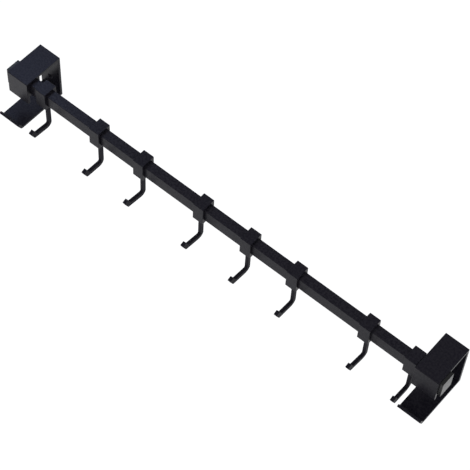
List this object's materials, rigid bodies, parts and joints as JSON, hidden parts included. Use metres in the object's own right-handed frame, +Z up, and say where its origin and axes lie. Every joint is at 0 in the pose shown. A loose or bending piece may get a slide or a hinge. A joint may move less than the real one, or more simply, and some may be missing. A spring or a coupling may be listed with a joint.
{
  "type": "pot rack",
  "caption": "Wall pot rack: a black rectangular rail between two open strip brackets, with plate-cut hooks on collars that slide along the rail.",
  "frame": {"origin": "centre of the four wall screw holes, on the wall plane", "axes": "+X along the rail to the right, +Y into the wall, +Z up; the hooks point to -Y"},
  "size_m": [0.926, 0.111, 0.1031],
  "materials": {
    "painted_steel": "satin black powder coat",
    "cap_plastic": "satin black",
    "screw_steel": "black oxide"
  },
  "bodies": {
    "rack": {"bar": "painted_steel", "bracket_left": "painted_steel", "bracket_right": "painted_steel", "bar_socket_left": "painted_steel", "bar_socket_right": "painted_steel", "end_cap_left": "cap_plastic", "end_cap_right": "cap_plastic", "lock_screw_left": "screw_steel", "lock_screw_right": "screw_steel"},
    "sliding_hook_1": {"collar_1": "painted_steel", "hook_1": "painted_steel"},
    "sliding_hook_2": {"collar_2": "painted_steel", "hook_2": "painted_steel"},
    "sliding_hook_3": {"collar_3": "painted_steel", "hook_3": "painted_steel"},
    "sliding_hook_4": {"collar_4": "painted_steel", "hook_4": "painted_steel"},
    "sliding_hook_5": {"collar_5": "painted_steel", "hook_5": "painted_steel"},
    "sliding_hook_6": {"collar_6": "painted_steel", "hook_6": "painted_steel"},
    "sliding_hook_7": {"collar_7": "painted_steel", "hook_7": "painted_steel"},
    "sliding_hook_8": {"collar_8": "painted_steel", "hook_8": "painted_steel"}
  },
  "joints": [
    {"name": "hook_1_slide", "type": "slide", "parent": "rack", "child": "sliding_hook_1", "axis": [1, 0, 0], "range_m": [-0.0155, 0.1015]},
    {"name": "hook_2_slide", "type": "slide", "parent": "rack", "child": "sliding_hook_2", "axis": [1, 0, 0], "range_m": [-0.1015, 0.0767]},
    {"name": "hook_3_slide", "type": "slide", "parent": "rack", "child": "sliding_hook_3", "axis": [1, 0, 0], "range_m": [-0.0767, 0.1096]},
    {"name": "hook_4_slide", "type": "slide", "parent": "rack", "child": "sliding_hook_4", "axis": [1, 0, 0], "range_m": [-0.1096, 0.0783]},
    {"name": "hook_5_slide", "type": "slide", "parent": "rack", "child": "sliding_hook_5", "axis": [1, 0, 0], "range_m": [-0.0783, 0.0743]},
    {"name": "hook_6_slide", "type": "slide", "parent": "rack", "child": "sliding_hook_6", "axis": [1, 0, 0], "range_m": [-0.0743, 0.124]},
    {"name": "hook_7_slide", "type": "slide", "parent": "rack", "child": "sliding_hook_7", "axis": [1, 0, 0], "range_m": [-0.124, 0.0671]},
    {"name": "hook_8_slide", "type": "slide", "parent": "rack", "child": "sliding_hook_8", "axis": [1, 0, 0], "range_m": [-0.0671, 0.0003]}
  ]
}
